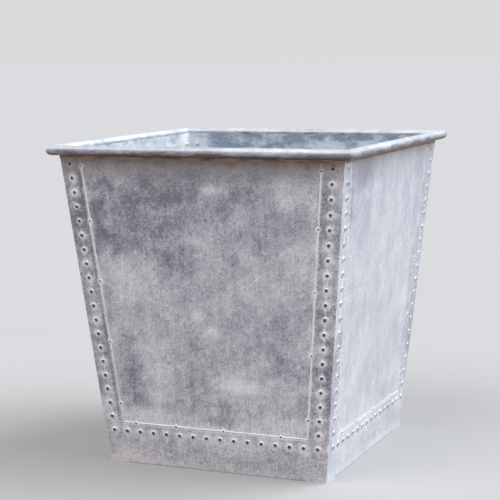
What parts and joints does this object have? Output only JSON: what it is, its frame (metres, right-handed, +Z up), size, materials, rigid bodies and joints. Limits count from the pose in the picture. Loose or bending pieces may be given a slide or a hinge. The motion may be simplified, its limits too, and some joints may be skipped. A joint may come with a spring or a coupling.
{
  "type": "planter",
  "caption": "Tapered square planter in galvanized sheet with riveted corner angles, base bands and a rolled rim.",
  "frame": {"origin": "middle of the footprint, on the surface the planter stands on", "axes": "+Z up through the mouth, -Y out of the front face, +X to the right of someone who faces the front"},
  "size_m": [0.488, 0.488, 0.5],
  "materials": {
    "wall_sheet": "weathered galvanized sheet, mottled and dull",
    "frame_sheet": "weathered galvanized sheet, mottled and dull",
    "rim": "weathered galvanized roll, paler on top",
    "solder": "pale dull zinc solder",
    "rivet": "dull zinc-coated steel",
    "pan": "weathered galvanized sheet"
  },
  "bodies": {
    "root": {"wall_sheet_front": "wall_sheet", "wall_sheet_right": "wall_sheet", "wall_sheet_back": "wall_sheet", "wall_sheet_left": "wall_sheet", "corner_angle_front_right": "frame_sheet", "corner_angle_back_right": "frame_sheet", "corner_angle_back_left": "frame_sheet", "corner_angle_front_left": "frame_sheet", "base_band_front": "frame_sheet", "base_band_right": "frame_sheet", "base_band_back": "frame_sheet", "base_band_left": "frame_sheet", "rim_front": "rim", "rim_right": "rim", "rim_back": "rim", "rim_left": "rim", "seam_solder_front": "solder", "seam_solder_right": "solder", "seam_solder_back": "solder", "seam_solder_left": "solder", "corner_solder_front_right": "solder", "corner_solder_back_right": "solder", "corner_solder_back_left": "solder", "corner_solder_front_left": "solder", "seam_tacks_front": "solder", "seam_tacks_right": "solder", "seam_tacks_back": "solder", "seam_tacks_left": "solder", "rivets_front_face_left": "rivet", "rivets_front_face_right": "rivet", "rivets_front_face_foot": "rivet", "rivets_right_face_left": "rivet", "rivets_right_face_right": "rivet", "rivets_right_face_foot": "rivet", "rivets_back_face_left": "rivet", "rivets_back_face_right": "rivet", "rivets_back_face_foot": "rivet", "rivets_left_face_left": "rivet", "rivets_left_face_right": "rivet", "rivets_left_face_foot": "rivet", "base_pan": "pan"}
  },
  "joints": []
}
